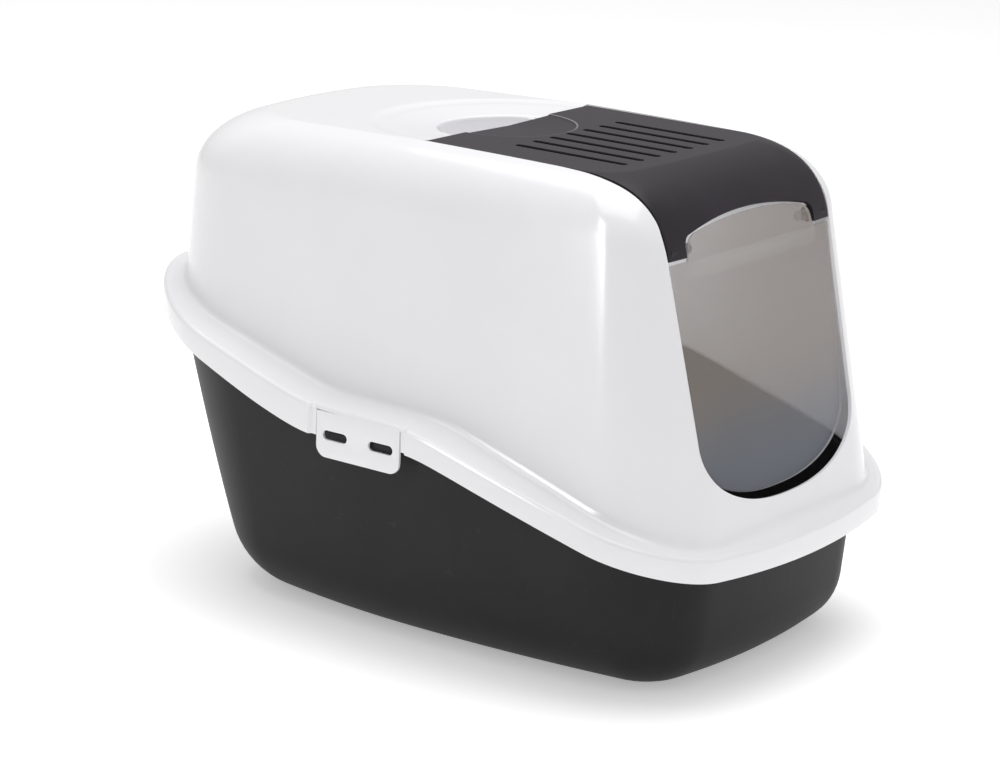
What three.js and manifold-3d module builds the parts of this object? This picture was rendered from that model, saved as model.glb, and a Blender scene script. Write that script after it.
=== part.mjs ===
// Hooded cat litter box: a dark tub, a white hood with an overhanging rim that clips down with two
// tabs, a vent cover hinged across the middle of the roof, a filter held under it, and a swing door
// that hangs from the cover's two arms.
// Millimetres. +Z up, the doorway faces -Y, X = 0 is the plane of symmetry, and the floor is Z = 0.

import * as THREE from 'three';
import { mergeVertices } from 'three/addons/utils/BufferGeometryUtils.js';
import Module from 'manifold-3d';

const wasm = await Module();
wasm.setup();

// ---------------------------------------------------------------- driving dimensions

const WALL = 2.8; // moulded wall of tub and hood
const GAP = 0.3; // between pieces that touch
const ROOF_Z = 377; // flat front half of the roof
const ROOF_FALL = 0.03; // drop of the roof per mm behind the handle
const HINGE_Y = 13; // line where the cover is hinged, through the middle of the handle pocket

// The rim in plan, and the tub's own outline at its mouth and at its floor.
const RIM = {
  side: 195, front: 280, rear: 280, cornerFront: 60, cornerRear: 86, bowSide: 24, bowFront: 22, bowRear: 31,
};
const TUB_MOUTH = {
  side: 186, front: 267, rear: 268, cornerFront: 82, cornerRear: 99, bowSide: 17, bowFront: 13, bowRear: 25,
};
const TUB_FLOOR = {
  side: 150, front: 252, rear: 192, cornerFront: 42, cornerRear: 45, bowSide: 17, bowFront: 13, bowRear: 25,
};
const TUB_MOUTH_Z = 230; // height at which the walls reach the mouth outline
const TUB_BELLY = 0.82; // exponent of the wall's spread with height
const TUB_FOOT_RISE = 42; // the rounding between wall and floor
const TUB_FOOT_INSET = 38;
const FLANGE = { inset: 7.5, thick: 2.6 };

// The rim's lower edge in side view: level at the tabs, falling to the door and rising to the rear.
const RIM_TAB_Z = 159;
const RIM_TAB_HALF = 52;
const RIM_FALL = 0.315;
const RIM_RISE = 0.278;
const RIM_BLEND = 18;
const SKIRT = 24; // height of the rim's upright face beside the tabs
const SKIRT_TRIM = { front: 5.4, rearStart: 100, rearSlope: 0.065 }; // how much shorter it is elsewhere

// Hood walls: [edge] where the shoulder starts at roof height, its arc radius, the slope there and
// the draft of the wall below, in degrees.
const HOOD_SIDE = { edge: 107, radius: 50, crown: 12, draft: 5 };
const HOOD_FRONT = { edge: 148, radius: 66, crown: 0, draft: 13.4 };
const HOOD_REAR = { edge: 207, radius: 58, crown: 10, draft: 7.4 };
const HOOD_CORNER_FRONT = { low: 72, high: 26 };
const HOOD_CORNER_REAR = { low: 115, high: 50 };
const HOOD_CORNER_LOW_Z = 100;
const HOOD_BOW = { bowSide: 5, bowFront: 5, bowRear: 18 };
const HOOD_BULGE = 3; // how far the front's middle stands proud of its stated edge

// Doorway and door
const DOORWAY = { top: 110, low: 105.5, topZ: 321, lowZ: 190, sillZ: 137.5, bend: 55, squareness: 2.3 };
const DOOR_CLEAR = 2.6; // between the door and the doorway
const DOOR_THICK = 2.2;
const DOOR_TOP_Z = 318.6; // shoulders of the door
const DOOR_HANG = { top: -213.6, slope: 0.195 };
const DOOR_AXIS = { y: -206.5, z: 326 };
const PIN_RADIUS = 2.7;
const PIN_TIP = 96;

// Vent cover
const COVER_THICK = 3;
const COVER = { rearHalf: 106, frontHalf: 108.8, flareStart: -108, flareEnd: -168, armZ: 321.8 };
const ARCH = { half: 87, cornerZ: 337.5, topZ: 346, cornerInset: 9 };
const TONGUE_GAP = 3;
const SLOTS = { count: 7, pitch: 21.7, width: 7.2, rear: -43, front: -143.5 };

// Filter under the cover
const PAD = { halfWidth: 72, rear: -42, front: -145, thick: 8 };
const FRAME_WALL = 2;
const FRAME_BAR = 2.4;
const DECK_THICK = 2.5;

// Handle pocket and latch tabs
const POCKET = { radius: 54.6, depth: 28 };
const TAB = { half: 39.5, low: 144.5, corner: 9, thick: 2.5, recess: 3, notchHalf: 45.5, headroom: 0.8, gap: 0.8 };
const TAB_SLOT = { length: 23, height: 7.2, y: 21.7, z: 162 };
const CATCH = { length: 17, height: 3.6 };

// ---------------------------------------------------------------- solids

/** A closed geometry as a solid that can be joined and cut. */
function solid(geometry) {
  const bare = geometry.index ? geometry.clone() : geometry;
  bare.deleteAttribute('normal');
  bare.deleteAttribute('uv');
  const merged = mergeVertices(bare, 1e-4);
  return new wasm.Manifold(new wasm.Mesh({
    numProp: 3,
    vertProperties: new Float32Array(merged.attributes.position.array),
    triVerts: new Uint32Array(merged.index.array),
  }));
}

function geometryOf(manifold) {
  const mesh = manifold.getMesh();
  const geometry = new THREE.BufferGeometry();
  geometry.setAttribute('position', new THREE.BufferAttribute(mesh.vertProperties, 3));
  geometry.setIndex(new THREE.BufferAttribute(mesh.triVerts, 1));
  geometry.computeVertexNormals();
  return geometry;
}

function box(x0, x1, y0, y1, z0, z1) {
  const geometry = new THREE.BoxGeometry(x1 - x0, y1 - y0, z1 - z0);
  return solid(geometry.translate((x0 + x1) / 2, (y0 + y1) / 2, (z0 + z1) / 2));
}

/** A rod along X. */
function rodX(radius, x0, x1, y, z, sides = 20) {
  const geometry = new THREE.CylinderGeometry(radius, radius, x1 - x0, sides);
  return solid(geometry.rotateZ(Math.PI / 2).translate((x0 + x1) / 2, y, z));
}

/** A rod along Z. */
function rodZ(radius, z0, z1, x, y, sides) {
  const geometry = new THREE.CylinderGeometry(radius, radius, z1 - z0, sides);
  return solid(geometry.rotateX(Math.PI / 2).translate(x, y, (z0 + z1) / 2));
}

/** A plan outline of [x, y] points carried up from z0 to z1. */
function prismZ(points, z0, z1) {
  const shape = new THREE.Shape(points.map(([x, y]) => new THREE.Vector2(x, y)));
  const geometry = new THREE.ExtrudeGeometry(shape, { depth: z1 - z0, bevelEnabled: false });
  return solid(geometry.translate(0, 0, z0));
}

/** A side outline of [y, z] points carried along X from x0 to x1. */
function prismX(points, x0, x1) {
  const shape = new THREE.Shape(points.map(([y, z]) => new THREE.Vector2(y, z)));
  const geometry = new THREE.ExtrudeGeometry(shape, { depth: x1 - x0, bevelEnabled: false });
  const turn = new THREE.Matrix4().set(0, 0, 1, x0, 1, 0, 0, 0, 0, 1, 0, 0, 0, 0, 0, 1);
  return solid(geometry.applyMatrix4(turn));
}

/** A front outline of [x, z] points carried along Y from y0 to y1. */
function prismY(points, y0, y1) {
  const shape = new THREE.Shape(points.map(([x, z]) => new THREE.Vector2(x, z)));
  const geometry = new THREE.ExtrudeGeometry(shape, { depth: y1 - y0, bevelEnabled: false });
  const turn = new THREE.Matrix4().set(1, 0, 0, 0, 0, 0, -1, y1, 0, 1, 0, 0, 0, 0, 0, 1);
  return solid(geometry.applyMatrix4(turn));
}

/**
 * A solid skinned over closed rings of equal count, lowest first. Every ring starts at the middle of
 * the front and runs counter-clockwise, so point i and point count - i are mirror images, and both
 * ends are capped by strips between mirrored points.
 */
function loft(rings) {
  const count = rings[0].length;
  const half = count / 2;
  const index = [];
  for (let k = 0; k + 1 < rings.length; k += 1) {
    for (let i = 0; i < count; i += 1) {
      const a = k * count + i;
      const b = k * count + (i + 1) % count;
      index.push(a, b, b + count, a, b + count, a + count);
    }
  }
  const cap = (base, flip) => {
    const triangle = (a, b, c) => index.push(base + a, base + (flip ? c : b), base + (flip ? b : c));
    triangle(0, 1, count - 1);
    for (let i = 1; i < half - 1; i += 1) {
      triangle(i, i + 1, count - i - 1);
      triangle(i, count - i - 1, count - i);
    }
    triangle(half - 1, half, half + 1);
  };
  cap(0, true);
  cap((rings.length - 1) * count, false);
  const geometry = new THREE.BufferGeometry();
  geometry.setAttribute('position', new THREE.Float32BufferAttribute(rings.flat(2), 3));
  geometry.setIndex(index);
  return solid(geometry);
}

// ---------------------------------------------------------------- outlines

const CORNER_STEPS = 7;
const LONG_STEPS = 9;
const SHORT_STEPS = 4;
const radians = (degrees) => degrees * Math.PI / 180;
const between = (a, b, t) => a + (b - a) * t;

/** A straight run of points from a towards b, without b. */
function run(a, b, steps) {
  return Array.from({ length: steps }, (_, i) => [between(a[0], b[0], i / steps), between(a[1], b[1], i / steps)]);
}

/** A quarter circle of points about (x, y), starting at the given angle, without its last point. */
function quarter(x, y, radius, start) {
  return Array.from({ length: CORNER_STEPS }, (_, i) => {
    const angle = radians(start + 90 * i / CORNER_STEPS);
    return [x + radius * Math.cos(angle), y + radius * Math.sin(angle)];
  });
}

/** A rounded rectangle whose four sides are bowed outwards, as [x, y] points from the front middle. */
function planOutline(plan, inset = 0) {
  const side = plan.side - plan.bowSide - inset;
  const front = plan.front - plan.bowFront - inset;
  const rear = plan.rear - plan.bowRear - inset;
  const nose = Math.max(plan.cornerFront - inset, 2);
  const tail = Math.max(plan.cornerRear - inset, 2);
  const right = [
    ...run([0, -front], [side - nose, -front], SHORT_STEPS),
    ...quarter(side - nose, nose - front, nose, -90),
    ...run([side, nose - front], [side, rear - tail], LONG_STEPS),
    ...quarter(side - tail, rear - tail, tail, 0),
    ...run([side - tail, rear], [0, rear], SHORT_STEPS),
    [0, rear],
  ];
  const bowed = right.map(([x, y]) => {
    const along = y / (y < 0 ? front : rear);
    const across = x / side;
    const bulge = y < 0 ? plan.bowFront / front : plan.bowRear / rear;
    return [
      x * (1 + plan.bowSide / side * (1 - along * along)),
      y * (1 + bulge * (1 - across * across)),
    ];
  });
  const left = bowed.slice(1, -1).reverse().map(([x, y]) => [-x, y]);
  return [...bowed, ...left];
}

/** Zero below t = 0 and equal to t above it, with a rounded bend. */
const ramp = (t) => (t + Math.hypot(t, RIM_BLEND)) / 2;

/** Height of the rim's lower edge along the box. */
const rimZ = (y) => RIM_TAB_Z - RIM_FALL * ramp(-y - RIM_TAB_HALF) + RIM_RISE * ramp(y - RIM_TAB_HALF);

/** How far the skirt stops short of that edge: in front of the tabs, and growing towards the rear end. */
const skirtTrim = (y) => (y < 0 ? SKIRT_TRIM.front : SKIRT_TRIM.rearSlope * ramp(y - SKIRT_TRIM.rearStart));

/** The band between two heights above the rim's lower edge, right across the box. */
function rimBand(low, high, trim = () => 0) {
  const reach = 300;
  const steps = 30;
  const y = Array.from({ length: steps + 1 }, (_, i) => between(-reach, reach, i / steps));
  const bottom = y.map((v) => [v, rimZ(v) + low + trim(v)]);
  const top = y.map((v) => [v, rimZ(v) + high]).reverse();
  return prismX([...bottom, ...top], -reach, reach);
}

// ---------------------------------------------------------------- tub

function tubOutline(z, inset) {
  const spread = (z / TUB_MOUTH_Z) ** TUB_BELLY;
  const foot = Math.max(1 - z / TUB_FOOT_RISE, 0);
  const round = TUB_FOOT_INSET * (1 - Math.sqrt(1 - foot * foot));
  const plan = {};
  for (const key of Object.keys(TUB_FLOOR)) plan[key] = between(TUB_FLOOR[key], TUB_MOUTH[key], spread);
  return planOutline(plan, round + inset);
}

function tubBody(inset, floorZ) {
  const heights = [0, 1.2, 4, 9, 16, 26, 42, 75, 115, 160, 205, 250].map((z) => floorZ + z);
  return loft(heights.map((z) => tubOutline(z - floorZ, inset).map(([x, y]) => [x, y, z])));
}

function makeTray() {
  const cavity = tubBody(WALL, WALL);
  const seat = SKIRT - WALL - GAP;
  const flangeRing = prismZ(planOutline(RIM, FLANGE.inset), 60, 270).subtract(cavity);
  const flange = flangeRing.intersect(rimBand(seat - FLANGE.thick, seat));
  let tray = tubBody(0, 0).subtract(cavity).intersect(rimBand(-260, seat)).add(flange);
  const tabFace = RIM.side - TAB.recess - TAB.thick - GAP;
  for (const side of [-1, 1]) {
    for (const y of [-TAB_SLOT.y, TAB_SLOT.y]) {
      const x = [side * (tabFace - 14), side * tabFace].sort((a, b) => a - b);
      const catchLug = box(...x, y - CATCH.length / 2, y + CATCH.length / 2,
        TAB_SLOT.z - CATCH.height / 2, TAB_SLOT.z + CATCH.height / 2);
      tray = tray.add(catchLug.subtract(cavity));
    }
  }
  return tray;
}

// ---------------------------------------------------------------- hood

/** Distance of a hood wall from the middle at height z: a drafted wall and a shoulder arc above it. */
function wallAt({ edge, radius, crown, draft }, z, inset) {
  const lean = radians(draft);
  const slope = radians(crown);
  const r = radius - inset;
  const centre = edge - radius * Math.sin(slope);
  const centreZ = ROOF_Z - radius * Math.cos(slope);
  const tangentZ = centreZ + r * Math.sin(lean);
  if (z < tangentZ) return centre + r * Math.cos(lean) + Math.tan(lean) * (tangentZ - z);
  return centre + Math.sqrt(Math.max(r * r - (z - centreZ) ** 2, 0));
}

/** The hood's outline at height z, as [x, y, z] points; the rear half of the roof falls away. */
function hoodRing(z, inset) {
  const high = THREE.MathUtils.clamp((z - HOOD_CORNER_LOW_Z) / (ROOF_Z - HOOD_CORNER_LOW_Z), 0, 1);
  const plan = {
    side: wallAt(HOOD_SIDE, z, inset),
    front: wallAt(HOOD_FRONT, z, inset) + HOOD_BULGE,
    rear: wallAt(HOOD_REAR, z, inset),
    cornerFront: between(HOOD_CORNER_FRONT.low, HOOD_CORNER_FRONT.high, high) - inset,
    cornerRear: between(HOOD_CORNER_REAR.low, HOOD_CORNER_REAR.high, high) - inset,
    ...HOOD_BOW,
  };
  const share = THREE.MathUtils.clamp((z - 250) / (ROOF_Z - 250), 0, 1);
  return planOutline(plan).map(([x, y]) => [x, y, z - ROOF_FALL * share * Math.max(y - HINGE_Y, 0)]);
}

function hoodBody(inset, lowZ = 60) {
  const arcSteps = 9;
  const arcRadius = 70;
  const heights = [lowZ, 200];
  for (let i = 0; i <= arcSteps; i += 1) {
    const turn = radians(90 * i / arcSteps);
    heights.push(ROOF_Z - inset - arcRadius * (1 - Math.sin(turn)));
  }
  return loft(heights.map((z) => hoodRing(z, inset)));
}

/** Half-width of the vent cover along the box: wider over the front, eased between. */
function coverHalf(y) {
  const t = THREE.MathUtils.smoothstep(-y, -COVER.flareStart, -COVER.flareEnd);
  return between(COVER.rearHalf, COVER.frontHalf, t);
}

/** The cover's plan, grown sideways and backwards, as a prism from z0 up. */
function coverPlan(grow, z0) {
  const steps = 6;
  const rear = HINGE_Y - GAP + grow;
  const flare = Array.from({ length: steps + 1 }, (_, i) => between(COVER.flareStart, COVER.flareEnd, i / steps));
  const right = [rear, ...flare, -300].map((y) => [coverHalf(y) + grow, y]);
  return prismZ([...right.reverse(), ...right.reverse().map(([x, y]) => [-x, y])], z0, ROOF_Z + 20);
}

/** The U-shaped doorway outline in front view, shrunk by a clearance and closed at topZ. */
function doorwayOutline(clear, topZ) {
  const steps = 14;
  const slope = (DOORWAY.top - DOORWAY.low) / (DOORWAY.topZ - DOORWAY.lowZ);
  const halfAt = (z) => DOORWAY.low + slope * (z - DOORWAY.lowZ) - clear;
  const bendZ = DOORWAY.sillZ + clear + DOORWAY.bend;
  const power = 2 / DOORWAY.squareness;
  const bend = Array.from({ length: steps }, (_, i) => {
    const angle = radians(90 * i / steps);
    return [halfAt(bendZ) * Math.cos(angle) ** power, bendZ - DOORWAY.bend * Math.sin(angle) ** power];
  });
  const right = [[halfAt(topZ), topZ], ...bend];
  const left = right.map(([x, z]) => [-x, z]).reverse();
  return [...right, [0, DOORWAY.sillZ + clear], ...left].reverse();
}

/** The tab's outline in side view, reaching above its hinge and rounded below. */
function tabOutline() {
  const top = RIM_TAB_Z + SKIRT + 10;
  const shape = new THREE.Shape();
  shape.moveTo(-TAB.half, top);
  shape.lineTo(-TAB.half, TAB.low + TAB.corner);
  shape.absarc(TAB.corner - TAB.half, TAB.low + TAB.corner, TAB.corner, Math.PI, 1.5 * Math.PI, false);
  shape.absarc(TAB.half - TAB.corner, TAB.low + TAB.corner, TAB.corner, -0.5 * Math.PI, 0, false);
  shape.lineTo(TAB.half, top);
  return shape.getPoints(5).map((p) => [p.x, p.y]);
}

const DECK_Z = ROOF_Z - COVER_THICK - GAP;
const FRAME = {
  half: PAD.halfWidth + GAP + FRAME_WALL,
  rear: PAD.rear + GAP + FRAME_WALL,
  front: PAD.front - GAP - FRAME_WALL,
};
const FRAME_CLEAR = 3.5; // between the filter frame and the window it drops through

function makeHood() {
  const cabin = hoodBody(WALL, 50);
  const rimSolid = prismZ(planOutline(RIM), 40, 300);
  const rimHollow = prismZ(planOutline(RIM, WALL), 30, 310);
  const ledge = rimSolid.subtract(cabin).intersect(rimBand(SKIRT - WALL, SKIRT));
  const skirt = rimSolid.subtract(rimHollow).intersect(rimBand(0, SKIRT, skirtTrim));
  let hood = hoodBody(0).subtract(cabin).intersect(rimBand(SKIRT - WALL, 500)).add(ledge).add(skirt);
  const deckPlan = box(-112, 112, HOOD_FRONT.edge * -1 - 16, HINGE_Y + 4, DECK_Z - DECK_THICK, DECK_Z);
  const floorZ = ROOF_Z - POCKET.depth;
  const cup = rodZ(POCKET.radius + WALL, floorZ - WALL, ROOF_Z - 1, 0, HINGE_Y, 64)
    .subtract(box(-80, 80, -80, HINGE_Y - WALL, 300, 400));
  hood = hood.add(deckPlan).add(cup);
  const hollow = rodZ(POCKET.radius, floorZ, ROOF_Z + 20, 0, HINGE_Y, 64);
  hood = hood.subtract(hollow.intersect(box(-80, 80, HINGE_Y, 90, 300, 420)));
  const skin = hoodBody(-2).subtract(hoodBody(COVER_THICK + GAP, 70));
  hood = hood.subtract(coverPlan(1, COVER.armZ - 1).intersect(skin));
  const front = -HOOD_FRONT.edge - 14;
  hood = hood.subtract(prismY(doorwayOutline(0, DOORWAY.topZ), -320, -120));
  hood = hood.subtract(box(-DOORWAY.top, DOORWAY.top, -320, front, DOORWAY.topZ - 0.01, ROOF_Z + 20));
  hood = hood.subtract(box(-FRAME.half - FRAME_CLEAR, FRAME.half + FRAME_CLEAR,
    FRAME.front - FRAME_CLEAR, FRAME.rear + FRAME_CLEAR, 340, ROOF_Z + 5));
  for (const side of [-1, 1]) {
    const outer = side * (RIM.side + 10);
    const face = side * (RIM.side - TAB.recess);
    const skirtFoot = side * (RIM.side - 12);
    const across = [outer, face].sort((a, b) => a - b);
    const notch = box(...[outer, skirtFoot].sort((a, b) => a - b), -TAB.notchHalf, TAB.notchHalf, 130, 240);
    hood = hood.subtract(box(...across, -TAB.notchHalf, TAB.notchHalf, 130, 240));
    hood = hood.subtract(notch.intersect(rimBand(-10, SKIRT - WALL)));
    const web = [face, face - side * TAB.thick].sort((a, b) => a - b);
    for (const end of [-1, 1]) {
      const y = [end * (TAB.half + TAB.gap), end * (TAB.notchHalf + WALL)].sort((a, b) => a - b);
      hood = hood.add(box(...web, ...y, 130, 240).intersect(rimBand(0, SKIRT, skirtTrim)));
    }
  }
  return hood;
}

// ---------------------------------------------------------------- vent cover, filter and door

/** The arched cut-out between the cover's arms, in front view, shrunk by a clearance. */
function archOutline(clear, lowZ) {
  const steps = 8;
  const half = ARCH.half - clear;
  const crownHalf = half - ARCH.cornerInset;
  const crown = Array.from({ length: 2 * steps + 1 }, (_, i) => {
    const t = 1 - i / steps;
    return [crownHalf * t, between(ARCH.topZ, ARCH.cornerZ, t * t) - clear];
  });
  const ear = (side) => [[side * half, lowZ], [side * half, ARCH.cornerZ - ARCH.cornerInset - clear],
    [side * (half - 2.5), ARCH.cornerZ - 3 - clear]];
  return [...ear(1), ...crown, ...ear(-1).reverse()];
}

/** A vent slot with round ends, cut right through the roof. */
function ventSlot(x) {
  const radius = SLOTS.width / 2;
  const rear = SLOTS.rear - radius;
  const front = SLOTS.front + radius;
  return box(x - radius, x + radius, front, rear, 340, ROOF_Z + 10)
    .add(rodZ(radius, 340, ROOF_Z + 10, x, front, 16))
    .add(rodZ(radius, 340, ROOF_Z + 10, x, rear, 16));
}

function makeVentCover() {
  const skin = hoodBody(0).subtract(hoodBody(COVER_THICK, 70));
  let cover = skin.intersect(coverPlan(0, COVER.armZ));
  cover = cover.subtract(prismY(archOutline(0, 300), -320, -150));
  for (let i = 0; i < SLOTS.count; i += 1) {
    cover = cover.subtract(ventSlot((i - (SLOTS.count - 1) / 2) * SLOTS.pitch));
  }
  const inside = hoodBody(1, 70);
  for (const side of [-1, 1]) {
    const x = [side * (ARCH.half + 1), side * (COVER.frontHalf - 2)].sort((a, b) => a - b);
    const { y, z } = DOOR_AXIS;
    const knuckle = rodX(6.4, ...x, y, z, 24);
    const web = box(...x, y - 8, y, z - 3, z + 12);
    const bore = rodX(PIN_RADIUS + GAP, ...[side * (ARCH.half - 4), side * (PIN_TIP + 1)].sort((a, b) => a - b), y, z);
    cover = cover.add(knuckle.add(web).intersect(inside).subtract(bore));
  }
  return cover;
}

function makeFilterPad() {
  const top = DECK_Z - 1;
  return box(-PAD.halfWidth, PAD.halfWidth, PAD.front, PAD.rear, top - PAD.thick, top);
}

/** A tray-shaped grille under the pad: four walls and a floor of crossed bars. */
function makeFilterFrame() {
  const top = DECK_Z - 1;
  const floorTop = top - PAD.thick - GAP;
  const floorLow = floorTop - FRAME_BAR;
  const shell = box(-FRAME.half, FRAME.half, FRAME.front, FRAME.rear, floorLow, top);
  const room = box(-PAD.halfWidth - GAP, PAD.halfWidth + GAP, PAD.front - GAP, PAD.rear + GAP, floorTop, top + 5);
  let frame = shell.subtract(room);
  const columns = 6;
  const rows = 4;
  const pitchX = 2 * PAD.halfWidth / columns;
  const pitchY = (PAD.rear - PAD.front) / rows;
  for (let i = 0; i < columns; i += 1) {
    for (let j = 0; j < rows; j += 1) {
      const x = -PAD.halfWidth + i * pitchX + FRAME_WALL;
      const y = PAD.front + j * pitchY + FRAME_WALL;
      frame = frame.subtract(box(x, x + pitchX - 2 * FRAME_WALL, y, y + pitchY - 2 * FRAME_WALL,
        floorLow - 5, floorTop + 1));
    }
  }
  return frame;
}

function makeDoor() {
  const tongue = hoodBody(0.4).subtract(hoodBody(0.4 + DOOR_THICK, 70))
    .intersect(prismY(archOutline(TONGUE_GAP, DOOR_TOP_Z - 2), -320, -150));
  const lowZ = DOORWAY.sillZ;
  const lowY = DOOR_HANG.top - DOOR_HANG.slope * (DOOR_TOP_Z - lowZ);
  const leaf = prismX([
    [DOOR_HANG.top, DOOR_TOP_Z], [lowY, lowZ], [lowY + DOOR_THICK, lowZ], [DOOR_HANG.top + DOOR_THICK, DOOR_TOP_Z],
  ], -120, 120);
  let door = leaf.intersect(prismY(doorwayOutline(DOOR_CLEAR, DOOR_TOP_Z), -320, -150)).add(tongue);
  const { y, z } = DOOR_AXIS;
  for (const side of [-1, 1]) {
    const boss = [side * (ARCH.half - 12), side * (ARCH.half - TONGUE_GAP)].sort((a, b) => a - b);
    const pin = [side * (ARCH.half - TONGUE_GAP - 1), side * PIN_TIP].sort((a, b) => a - b);
    const ear = rodX(4, ...boss, y, z).add(box(...boss, y - 6, y, z - 2.5, z + 2.5).intersect(hoodBody(1, 70)));
    door = door.add(ear).add(rodX(PIN_RADIUS, ...pin, y, z));
  }
  return door;
}

// ---------------------------------------------------------------- latch tabs

function makeLatch(side) {
  const face = RIM.side - TAB.recess;
  const x = [side * face, side * (face - TAB.thick)].sort((a, b) => a - b);
  let tab = prismX(tabOutline(), ...x).intersect(rimBand(-40, SKIRT - WALL - TAB.headroom));
  for (const y of [-TAB_SLOT.y, TAB_SLOT.y]) {
    const radius = TAB_SLOT.height / 2;
    const reach = TAB_SLOT.length / 2 - radius;
    const cut = [x[0] - 5, x[1] + 5];
    tab = tab.subtract(box(...cut, y - reach, y + reach, TAB_SLOT.z - radius, TAB_SLOT.z + radius));
    for (const end of [-1, 1]) {
      tab = tab.subtract(rodX(radius, ...cut, y + end * reach, TAB_SLOT.z, 16));
    }
  }
  return tab;
}

// ---------------------------------------------------------------- assembly

const FINISHES = {
  anthracite: { color: 0x37353a, roughness: 0.5, metalness: 0 },
  white: { color: 0xeeedee, roughness: 0.25, metalness: 0 },
  smoke: { color: 0xa89c92, roughness: 0.08, metalness: 0, transparent: true, opacity: 0.4 },
  charcoal: { color: 0x1c1c1d, roughness: 0.95, metalness: 0 },
};

const group = new THREE.Group();

function place(name, manifold, finish) {
  const mesh = new THREE.Mesh(geometryOf(manifold), new THREE.MeshStandardMaterial(FINISHES[finish]));
  mesh.name = name;
  group.add(mesh);
}

place('tray', makeTray(), 'anthracite');
place('hood', makeHood(), 'white');
place('vent_cover', makeVentCover(), 'anthracite');
place('filter_frame', makeFilterFrame(), 'anthracite');
place('filter_pad', makeFilterPad(), 'charcoal');
place('door', makeDoor(), 'smoke');
place('latch_left', makeLatch(-1), 'white');
place('latch_right', makeLatch(1), 'white');

export default group;
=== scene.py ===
"""Hooded cat litter box: dark tub, white clip-on hood, slotted vent cover, smoked swing door.

Every shell is a surface of two parameters worked out with numpy in millimetres and written in metres,
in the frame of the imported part: +Z up, doorway towards -Y, X = 0 the plane of symmetry.
"""

import math

import bmesh
import bpy
import numpy as np
from mathutils import Matrix, Vector


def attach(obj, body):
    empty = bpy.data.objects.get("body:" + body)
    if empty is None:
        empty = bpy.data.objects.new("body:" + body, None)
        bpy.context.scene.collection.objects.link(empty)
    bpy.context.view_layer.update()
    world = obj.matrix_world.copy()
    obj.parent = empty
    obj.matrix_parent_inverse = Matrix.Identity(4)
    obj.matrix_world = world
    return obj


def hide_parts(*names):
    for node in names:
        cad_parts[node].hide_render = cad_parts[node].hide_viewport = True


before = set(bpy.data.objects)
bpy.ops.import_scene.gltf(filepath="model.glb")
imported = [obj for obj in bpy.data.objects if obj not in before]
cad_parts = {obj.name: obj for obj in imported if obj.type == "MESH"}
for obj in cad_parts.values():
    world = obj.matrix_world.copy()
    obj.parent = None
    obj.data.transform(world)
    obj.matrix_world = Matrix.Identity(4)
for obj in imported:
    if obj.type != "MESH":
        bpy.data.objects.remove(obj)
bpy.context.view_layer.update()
MM = 0.001

# ---------------------------------------------------------------- sizes shared with the CAD part, mm

WALL = 2.8
ROOF_Z = 377.0
ROOF_FALL = 0.03
HINGE_Y = 13.0
RIM = dict(side=195, front=280, rear=280, corner_front=60, corner_rear=86,
           bow_side=24, bow_front=22, bow_rear=31)
TUB_MOUTH = dict(side=186, front=267, rear=268, corner_front=82, corner_rear=99,
                 bow_side=17, bow_front=13, bow_rear=25)
TUB_FLOOR = dict(side=150, front=252, rear=192, corner_front=42, corner_rear=45,
                 bow_side=17, bow_front=13, bow_rear=25)
TUB_MOUTH_Z = 230.0
TUB_BELLY = 0.82
TUB_FOOT_RISE = 42.0
TUB_FOOT_INSET = 38.0
TUB_FLOOR_MIDDLE_Y = -25.0  # where the rings of the tub's floor close to a point
FLANGE_INSET = 7.5
RIM_TAB_Z = 159.0
RIM_TAB_HALF = 52.0
RIM_FALL = 0.315
RIM_RISE = 0.278
RIM_BLEND = 18.0
SKIRT = 24.0
SKIRT_TRIM = dict(front=5.4, rear_start=100.0, rear_slope=0.065)
FLANGE_SEAT = SKIRT - WALL - 0.6  # height of the tub's flange above the rim line
SIDE_WALL = (107.0, 50.0, 12.0, 5.0)  # edge, shoulder radius, crown angle, draft angle
FRONT_WALL = (148.0, 66.0, 0.0, 13.4)
REAR_WALL = (207.0, 58.0, 10.0, 7.4)
FRONT_BULGE = 3.0
HOOD_LOW_Z = 100.0  # the hood's corners tighten from here to the roof
HOOD_CORNER_FRONT = (72.0, 26.0)
HOOD_CORNER_REAR = (115.0, 50.0)
HOOD_BOW = dict(bow_side=5.0, bow_front=5.0, bow_rear=18.0)
ROOF_FALL_Z = 250.0  # the roof's fall to the rear fades out at this height
DOORWAY = dict(top=110.0, low=105.5, top_z=321.0, low_z=190.0, sill_z=137.5, bend=55.0, squareness=2.3)
DOOR_CLEAR = 2.6
DOOR_THICK = 2.2
DOOR_TOP_Z = 318.6
DOOR_HANG_Y = -213.6
DOOR_SLOPE = 0.195
DOOR_AXIS = (-206.5, 326.0)
PIN_RADIUS = 2.7
PIN_TIP = 96.0
COVER_THICK = 3.0
COVER_REAR_HALF = 106.0
COVER_FRONT_HALF = 108.8
COVER_FLARE = (108.0, 168.0)
COVER_ARM_Z = 321.8
COVER_SINK = 0.9
COVER_TOP = ROOF_Z - COVER_SINK
GRIP_SINK = 2.2
ARCH_HALF = 87.0
ARCH_CORNER_Z = 337.5
ARCH_TOP_Z = 346.0
ARCH_BEND = 9.0
TONGUE_GAP = 3.0
SLOT_COUNT = 7
SLOT_PITCH = 21.7
SLOT_WIDTH = 7.2
SLOT_ENDS = (-143.5, -43.0)
PAD_HALF = 72.0
PAD_ENDS = (-145.0, -42.0)
DECK_THICK = 2.5
DECK_Z = 373.7
WINDOW_EDGE = 5.8  # from the filter pad's edge to the edge of the window it drops through
POCKET_RADIUS = 54.6
POCKET_DEPTH = 28.0
POCKET_ROUND = 2.4
POCKET_FOOT = 7.0
DISH_RADIUS = 106.7
DISH_SINK = 4.5
TAB_HALF = 39.5
TAB_LOW = 144.5
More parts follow.
